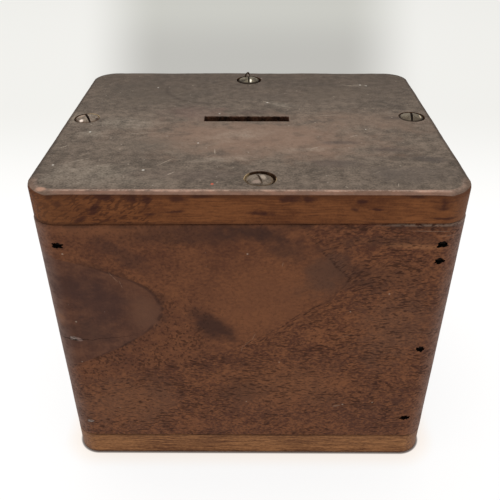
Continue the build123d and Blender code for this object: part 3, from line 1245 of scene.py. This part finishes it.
# Pale specks on the lid's top: x, y, radius
lid_specks = [
    (-34.6, -42.3, 0.60),
    (-18.3, -20.7, 0.45),
    (-58.8, -10.9, 0.60),
    (-65.0, -38.7, 0.50),
    (48.0, 41.8, 0.60),
    (50.5, 40.8, 0.50),
    (-40.0, 38.0, 0.45),
    (7.0, 20.0, 0.50),
    (-12.0, 7.5, 0.45),
    (43.0, -8.0, 0.35),
]


def lid_finish():
    """Dull grey-brown top painted darker towards the back as shade, orange-brown edges, and a pale worn
    arris at the front with painted highlights.
    """
    material, shader, place = new_material("lid_wood")
    x, y, z = place.parts()
    inset = from_side(x, y, lid_corner)
    below = lid_top - z
    ripple = place.noise(8.0, 1.0, shift=3.0) - 0.5
    warp = place.noise(34.0, 1.0, shift=8.0) - 0.5
    across = y + warp * 8.0 + ripple * 1.5
    grain = streaks(x, across, z, 3.0, 0.6, 1.0, 2.0)
    cloud = place.noise(13.0, 3.0, stretch=(1.2, 1, 1), shift=6.0)
    mottle = place.noise(2.6, 3.0, stretch=(1.2, 1, 1), shift=9.0)
    fine = place.noise(0.7, 1.5, shift=2.0)
    smudge = place.noise(5.0, 3.0, stretch=(1.3, 1, 1), shift=19.0)

    # The worn top
    ground = cloud * 0.35 + mottle * 0.40 + fine * 0.35 + grain * 0.12
    top = ground.step(0.40, 0.82).mix(tone(64, 56, 48), tone(118, 104, 92))
    for mark_x, mark_y, wide, long, turn, shade_tone, strength in lid_shades:
        spread = lid_mark(place, mark_x, mark_y, wide, long, turn) + (smudge + cloud - 1.0) * 1.4
        top = (spread.step(1.5, 0.2) * strength).mix(top, tone(*shade_tone))
    stipple = (fine * 0.4 + mottle * 0.4 + 0.12).step(0.25, 0.80)
    rubs = nearest(lid_mark(place, *mark) + (0.6 - strength) * 1.2 for *mark, strength in lid_scuffs)
    rubs = (rubs + (smudge - 0.5) * 1.6).step(1.4, 0.3)
    top = (rubs * stipple * 0.42).mix(top, tone(152, 142, 128))
    # Painted shade: the top is darker towards the back.
    far = y.step(0.0, 58.0)
    top = (far * 0.55).mix(top, tone(64, 54, 46))
    top = (smudge.step(0.54, 0.70) * 0.25).mix(top, tone(66, 56, 50))
    pits = (streaks(x, across, z, 1.2, 0.55, 27.0) + cloud * 0.2).step(0.66, 0.78)
    top = (pits * 0.28).mix(top, tone(56, 46, 40))
    figure = (lid_mark(place, -16.0, 37.0, 20.0, 18.0) - 1.0).maths("ABSOLUTE").step(0.07, 0.0)
    figure = figure * x.step(-8.0, -16.0) * y.step(46.0, 38.0)
    top = (figure * 0.5).mix(top, tone(62, 52, 46))
    for angle, shift in ((38.0, 61.0), (-14.0, 67.0)):
        line_along, line_across = slanted(x, y + ripple * 2.0, angle)
        lines = streaks(line_along, line_across, z, 9.0, 0.45, shift, 1.0).step(0.72, 0.80)
        top = (lines * 0.35).mix(top, tone(156, 142, 126))
    scratches = nearest(lid_mark(place, *mark) for mark in lid_scratches).step(1.0, 0.4)
    top = (scratches * (fine + 0.1).step(0.35, 0.6) * 0.6).mix(top, tone(164, 150, 134))
    specks = nearest(lid_mark(place, mark_x, mark_y, radius, radius)
                     for mark_x, mark_y, radius in lid_specks)
    top = (specks.step(1.0, 0.5) * 0.75).mix(top, tone(196, 190, 180))
    top = (dust(x, y, 5.0, 0.3, 0.42) * 0.45).mix(top, tone(160, 148, 134))
    red_speck = lid_mark(place, -11.6, -52.0, 0.6, 0.8).step(1.0, 0.5)
    top = (red_speck * 0.7).mix(top, tone(190, 90, 66))

    # The edges all round, with the marks of the front one
    height = z + ripple * 1.2
    edge_grain = streaks(x, height, y, 11.0, 0.55, 3.0, 2.0)
    edge_cloud = place.noise(9.0, 2.0, stretch=(2.2, 1, 1), shift=41.0)
    side = (edge_grain * 0.40 + edge_cloud * 0.5 + mottle * 0.25 + fine * 0.2).step(0.44, 0.92).mix(
        tone(78, 44, 26), tone(120, 74, 43))
    curl_along, curl_across = slanted(x, z + ripple * 3.0, 30.0)
    curls = (streaks(curl_along, curl_across, y, 2.6, 0.9, 13.0) + edge_cloud * 0.3).step(0.64, 0.74)
    fibres = (streaks(x, height, y, 4.5, 0.5, 33.0) + edge_cloud * 0.25).step(0.66, 0.78)
    curly = x.step(-22.0, -36.0)
    side = ((curls * curly).larger(fibres * 0.5) * 0.6).mix(side, tone(50, 27, 19))
    dents = nearest(front_mark(place, *mark) + (0.7 - strength) * 1.2 for *mark, strength in edge_marks)
    dents = (dents + (mottle - 0.5) * 1.6).step(1.4, 0.4)
    side = (dents * 0.75).mix(side, tone(48, 25, 22))
    side = (x.step(-48.0, -62.0) * x.step(-72.0, -64.0) * 0.35).mix(side, tone(104, 66, 40))
    side = (x.step(60.0, 69.0) * 0.5).mix(side, tone(98, 70, 54))
    under_arris = below.step(2.6, 0.5) * (edge_cloud + fine * 0.4).step(0.45, 0.75)
    side = (under_arris * 0.6).mix(side, tone(56, 31, 20))
    foot_line = z.step(wall_top + 1.2, wall_top + 0.2)
    side = (foot_line * 0.5).mix(side, tone(54, 32, 21))

    # Where the top and the edges meet
    edge_level = 0.32 + x.maths("ABSOLUTE").step(56.0, 66.0) * y.maths("ABSOLUTE").step(44.0, 55.0) * 0.5
    lip = (below - edge_level).step(0.12, -0.05)
    colour = lip.mix(side, top)
    front_side = y.step(-44.0, -52.0)
    at_corner = x.maths("ABSOLUTE").step(56.0, 66.0)
    # The front arris is worn pale, and painted paler still as a highlight where its round catches the
    # light.
    arris = (inset + (mottle - 0.5) * 1.6).step(3.3, 2.6) * lip * front_side
    patches = (edge_cloud * 0.5 + mottle * 0.7).step(0.45, 0.75)
    rubbed_and_highlit = patches.mix(tone(118, 96, 84), tone(172, 136, 118))
    worn_low = (inset + (edge_cloud - 0.5) * 2.0).step(2.3, 1.2)
    rubbed_and_highlit = (worn_low * 0.85).mix(rubbed_and_highlit, tone(114, 82, 66))
    # Painted highlight: a pale line along the top of the arris.
    painted_highlight_line = (inset - 2.4 + (mottle - 0.5) * 1.6).maths("ABSOLUTE").step(0.5, 0.1)
    rubbed_and_highlit = (painted_highlight_line * fine.step(0.4, 0.6) * 0.6).mix(rubbed_and_highlit, tone(176, 152, 136))
    colour = (arris * (1.0 - at_corner * 0.65) * (0.8 + (mottle - 0.5) * 0.8)).mix(colour, rubbed_and_highlit)
    # Painted highlight on the lid's front left corner.
    painted_corner_highlight = lid_mark(place, -64.4, -55.3, 2.2, 1.2, -15.0).step(1.1, 0.4)
    colour = (painted_corner_highlight * 0.8).mix(colour, tone(172, 134, 114))
    dark_arris = inset.step(1.6, 0.5) * (1.0 - front_side) * below.step(1.4, 0.6)
    colour = (dark_arris * 0.6).mix(colour, tone(58, 48, 42))
    colour = raw_wood(place, colour, below.step(10.2, 10.6) * inset.step(1.0, 2.6))
    surface(shader, colour, 0.60 + (cloud - 0.5) * 0.3 + (fine - 0.5) * 0.2, dull_shine,
            fine * 0.5 + grain * 0.5 + smudge * 0.6 - pits * 0.4, 0.10)
    return material


lid_wood = lid_finish()
print(len(lid_shades) + len(lid_scuffs), "patches,", len(lid_scratches), "scratches on the lid")

# %% [markdown]
# ## The base
#
# The base is a plainer board with straight grain: long light and dark lines, and few pores. Its
# foot is painted darker as shade, and its rounded corners carry a painted grey sheen.

# %% Base finish
def base_finish():
    """Straight-grained lighter wood."""
    material, shader, place = new_material("base_wood")
    x, y, z = place.parts()
    ripple = place.noise(9.0, 1.0, shift=5.0) - 0.5
    height = z + ripple * 1.8 + x * 0.012
    grain = streaks(x, height, y, 14.0, 0.45, 2.0, 2.5)
    pores = (streaks(x, height, y, 3.2, 0.30, 7.0)).step(0.58, 0.70)
    cloud = place.noise(16.0, 2.0, stretch=(1.6, 1, 1), shift=1.0)
    fine = place.noise(0.6, 1.0, stretch=(2, 1, 1), shift=4.0)
    colour = (grain * 0.8 + cloud * 0.3 + fine * 0.25).step(0.46, 0.92).mix(
        tone(84, 50, 30), tone(152, 105, 66))
    colour = (pores * 0.6).mix(colour, tone(64, 38, 24))
    # Painted shade: the base is darker towards its foot.
    colour = (z.step(1.6, 0.3) * 0.6).mix(colour, tone(60, 42, 34))
    colour = (z.step(base_high.z - 1.1, base_high.z - 0.2) * 0.5).mix(colour, tone(60, 38, 26))
    # Painted sheen on the base's rounded corners.
    corner_sheen = (x.maths("ABSOLUTE") - 62.0).step(0.0, 7.0)
    colour = (corner_sheen * 0.5).mix(colour, tone(112, 84, 70))
    inset = from_side(x, y, wall_corner)
    colour = raw_wood(place, colour, z.step(base_high.z - 0.4, base_high.z) * inset.step(1.0, 2.6))
    colour = (z.step(0.4, 0.0) * inset.step(0.8, 2.0) * 0.6).mix(colour, tone(74, 58, 46))
    surface(shader, colour, 0.54 + pores * 0.2, polished_shine, 1.0 - pores * 0.5 + grain * 0.4, 0.10)
    return material


base_wood = base_finish()
print("base finished")

# %% [markdown]
# ## Where tools went in
#
# The slot, the countersinks and the punched nail holes show old cut wood, dark with dirt that
# nobody can wipe out of them and painted darker still as shade in the recesses; the punched
# holes are painted almost black as shade. They share one recipe and differ in how dark they
# are. Only the countersinks hold pale packed dust as well, on the sides where the gap is filled.

# %% Cut wood
def packed_dust(place, side, way):
    """1 on the side of a screw's hole that an angle points to, where dust packs the gap."""
    off = place.vector("SUBTRACT", screw_place(side)).vector("MULTIPLY", (1, 1, 0))
    near = off.node("VectorMath", {"operation": "LENGTH"}, {0: off}, output=1).step(8.0, 7.0)
    pointer = (math.cos(math.radians(way)), math.sin(math.radians(way)), 0)
    away = off.node("VectorMath", {"operation": "NORMALIZE"}, {0: off})
    facing = away.node("VectorMath", {"operation": "DOT_PRODUCT"}, {0: away, 1: pointer}, output=1)
    return facing.step(0.55, 0.85) * near


def cut_finish(name, dark, light, dusty_ways):
    """Old cut wood, dark with dirt and painted darker as shade in the recess."""
    material, shader, place = new_material(name)
    chops = place.noise(2.2, 2.0, stretch=(1, 1, 1.6), shift=5.0)
    dirt = place.noise(0.5, 2.0, shift=8.0)
    colour = (chops * 0.7 + dirt * 0.4).step(0.4, 0.75).mix(tone(*dark), tone(*light))
    for side, ways in dusty_ways.items():
        for way in ways:
            dust_here = packed_dust(place, side, way) * (dirt + chops * 0.5).step(0.4, 0.8)
            colour = dust_here.mix(colour, tone(176, 152, 116))
    surface(shader, colour, 0.75 + dirt * 0.2, dull_shine, chops + dirt * 0.4, 0.2)
    return material


# Painted shade: the wood in these recesses is dark, and in the punched holes almost black.
bored_cut = cut_finish("bored_wood", (34, 21, 14), (84, 60, 42), packed_ways)
slot_cut = cut_finish("slot_wood", (24, 14, 10), (76, 50, 37), {})
punched_cut = cut_finish("punched_wood", (7, 5, 4), (20, 14, 11), {})

# %% [markdown]
# ## Steel and iron
#
# The screws are tarnished steel: a dull grey-brown head with stains, rubbed spots and painted
# highlights, a darker rim where rust and dirt gathered, which on the back and right heads is
# nearly black as painted shade of the gap round them, a side painted dark as shade down in that
# gap, and dark dirt in the slot, painted darker as shade on the back, left and right heads. The
# nails are black iron; two of their heads were never sunk, so they are rubbed grey.

# %% Metals
# Stains, rubbed spots and painted highlights on each head: x, y, half width, half length, turn, colour,
# strength
head_marks = {
    "front": [
        (-2.0, 1.4, 1.8, 1.4, 0.0, (122, 109, 94), 0.60),
        (1.2, 0.6, 0.9, 1.8, 10.0, (166, 150, 134), 0.75),
        (-0.9, -2.3, 1.4, 1.0, 0.0, (142, 123, 111), 0.75),
        (-1.6, -3.9, 3.0, 0.9, 5.0, (62, 50, 39), 0.90),
        (-4.0, -1.8, 0.7, 1.1, 0.0, (56, 42, 31), 0.85),
        (3.0, 1.2, 0.9, 2.4, 20.0, (84, 70, 56), 0.60),
    ],
    "back": [
        # A painted highlight beside the slot
        (0.9, -2.6, 0.45, 1.2, 0.0, (255, 246, 228), 0.95),
        (-2.6, -2.2, 1.4, 1.2, 0.0, (50, 42, 32), 0.75),
        (0.0, 2.6, 3.2, 1.2, 0.0, (122, 114, 96), 0.60),
        (2.8, -1.2, 0.9, 1.8, 0.0, (62, 53, 41), 0.70),
    ],
    "left": [
        (-2.4, 0.9, 1.4, 1.3, 20.0, (154, 128, 108), 0.75),
        # A painted highlight on the rim
        (-1.6, -3.2, 0.8, 0.8, 0.0, (236, 220, 208), 0.90),
        (-4.0, -2.2, 0.6, 1.8, 20.0, (58, 38, 28), 0.85),
        (3.9, -1.0, 0.5, 1.6, 0.0, (44, 31, 24), 0.90),
        (1.8, -1.5, 1.0, 1.8, 0.0, (112, 98, 86), 0.60),
    ],
    "right": [
        (-1.8, 1.4, 1.8, 1.8, 0.0, (112, 101, 84), 0.60),
        (1.4, -2.8, 1.6, 0.9, 0.0, (66, 54, 41), 0.70),
        # A painted highlight
        (3.3, -0.4, 0.32, 1.4, 0.0, (196, 180, 152), 0.90),
        (-2.2, -2.6, 1.2, 1.0, 0.0, (74, 62, 48), 0.60),
    ],
}


def metal_finish(side, dark, light, rim, rim_share):
    """Tarnished steel with a rim darkened for dirt and as painted shade, a side painted dark as shade, and
    the marks and painted highlights of one head.
    """
    material, shader, place = new_material(f"{side}_screw_steel")
    x, y, z = place.parts()
    out = (x * x + y * y) ** 0.5
    cloud = place.noise(1.6, 3.0, shift=1.0)
    fine = place.noise(0.4, 2.0, shift=4.0)
    colour = (cloud * 0.7 + fine * 0.6).step(0.48, 0.80).mix(tone(*dark), tone(*light))
    for mark_x, mark_y, wide, long, turn, mark_tone, strength in head_marks[side]:
        spread = oval(place, (mark_x, mark_y, 0.0), (wide, long, 9.0), (0.0, 0.0, turn))
        spread = spread + (cloud + fine - 1.0) * 0.8
        colour = (spread.step(1.3, 0.5) * strength).mix(colour, tone(*mark_tone))
    # The rim is darkened for rust and dirt; on the back and right heads its near-black tone is painted
    # shade of the gap round the head.
    rim_dirt_and_shade = (out + (cloud - 0.5) * 1.0 + (fine - 0.5) * 0.6).step(3.8, 4.3)
    colour = (rim_dirt_and_shade * rim_share).mix(colour, tone(*rim))
    # Painted shade: the head's side, down in the gap, is painted dark.
    colour = (z.step(0.04, -0.12) * 0.85).mix(colour, tone(44, 32, 24))
    shader.inputs["Metallic"].default_value = 0.35
    surface(shader, colour, 0.62 + (fine - 0.5) * 0.4 + rim_dirt_and_shade * 0.2, 0.2, cloud + fine * 0.6, 0.22)
    return material


def iron_finish(name, dark, light):
    """Rusty iron."""
    material, shader, place = new_material(name)
    cloud = place.noise(0.7, 3.0)
    colour = cloud.step(0.35, 0.7).mix(tone(*dark), tone(*light))
    surface(shader, colour, 0.7 + cloud * 0.2, 0.1, cloud, 0.1)
    return material


# The back and right rims are nearly black: painted shade of the gap round those heads.
steels = {
    "front": metal_finish("front", (70, 60, 49), (120, 106, 92), (96, 76, 54), 0.60),
    "back": metal_finish("back", (58, 50, 38), (118, 109, 90), (36, 27, 19), 0.80),
    "left": metal_finish("left", (76, 64, 53), (134, 119, 104), (88, 66, 50), 0.60),
    "right": metal_finish("right", (66, 56, 43), (112, 101, 84), (38, 28, 20), 0.85),
}
# Dirt in each screw's slot, painted darker as shade on the back, left and right heads, whose slots are
# deeper.
screw_slot_dirt_and_shade = {
    "front": iron_finish("front_slot_dirt", (52, 40, 31), (92, 76, 62)),
    "back": iron_finish("back_slot_dirt_and_shade", (30, 22, 16), (62, 50, 38)),
    "left": iron_finish("left_slot_dirt_and_shade", (24, 15, 10), (58, 40, 30)),
    "right": iron_finish("right_slot_dirt_and_shade", (24, 16, 11), (54, 39, 28)),
}
torn_steel = iron_finish("torn_steel", (34, 24, 17), (92, 74, 57))
black_iron = iron_finish("brad_iron", (10, 8, 7), (34, 25, 20))
grey_iron = iron_finish("rubbed_iron", (78, 66, 60), (138, 122, 113))

# %% [markdown]
# ## Handing out the finishes
#
# Each piece has a place for its outside's finish, and more for what tools cut.

# %% Finishes and bodies
def dress(piece, finishes, body, slot):
    """Gives a piece its finishes and its body; its slot is not used."""
    for index, finish in enumerate(finishes):
        if index < len(piece.data.materials):
            piece.data.materials[index] = finish
        else:
            piece.data.materials.append(finish)
    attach(piece, body)


dress(lid, (lid_wood, bored_cut, slot_cut), "lid", "lid_wood")
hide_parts("lid")
wall_woods = {"front_panel": front_wood, "back_panel": back_wood, "left_end": end_wood,
              "right_end": end_wood, "base": base_wood}
for node, wall in walls.items():
    dress(wall, (wall_woods[node], punched_cut), "carcass", "base_wood" if node == "base" else "panel_wood")
    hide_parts(node)
for side, screw in screws.items():
    dress(screw, (steels[side], screw_slot_dirt_and_shade[side]), f"{side}_screw", "screw_metal")
    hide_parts(f"lid_screw_{side}")
dress(sliver, (torn_steel,), "back_screw", "screw_metal")
for node, nail in nails.items():
    dress(nail, (grey_iron if node in proud_nails else black_iron,), "carcass", "brad_iron")
    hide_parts(node)
print("dressed", len(walls) + len(screws) + len(nails) + 2, "pieces")
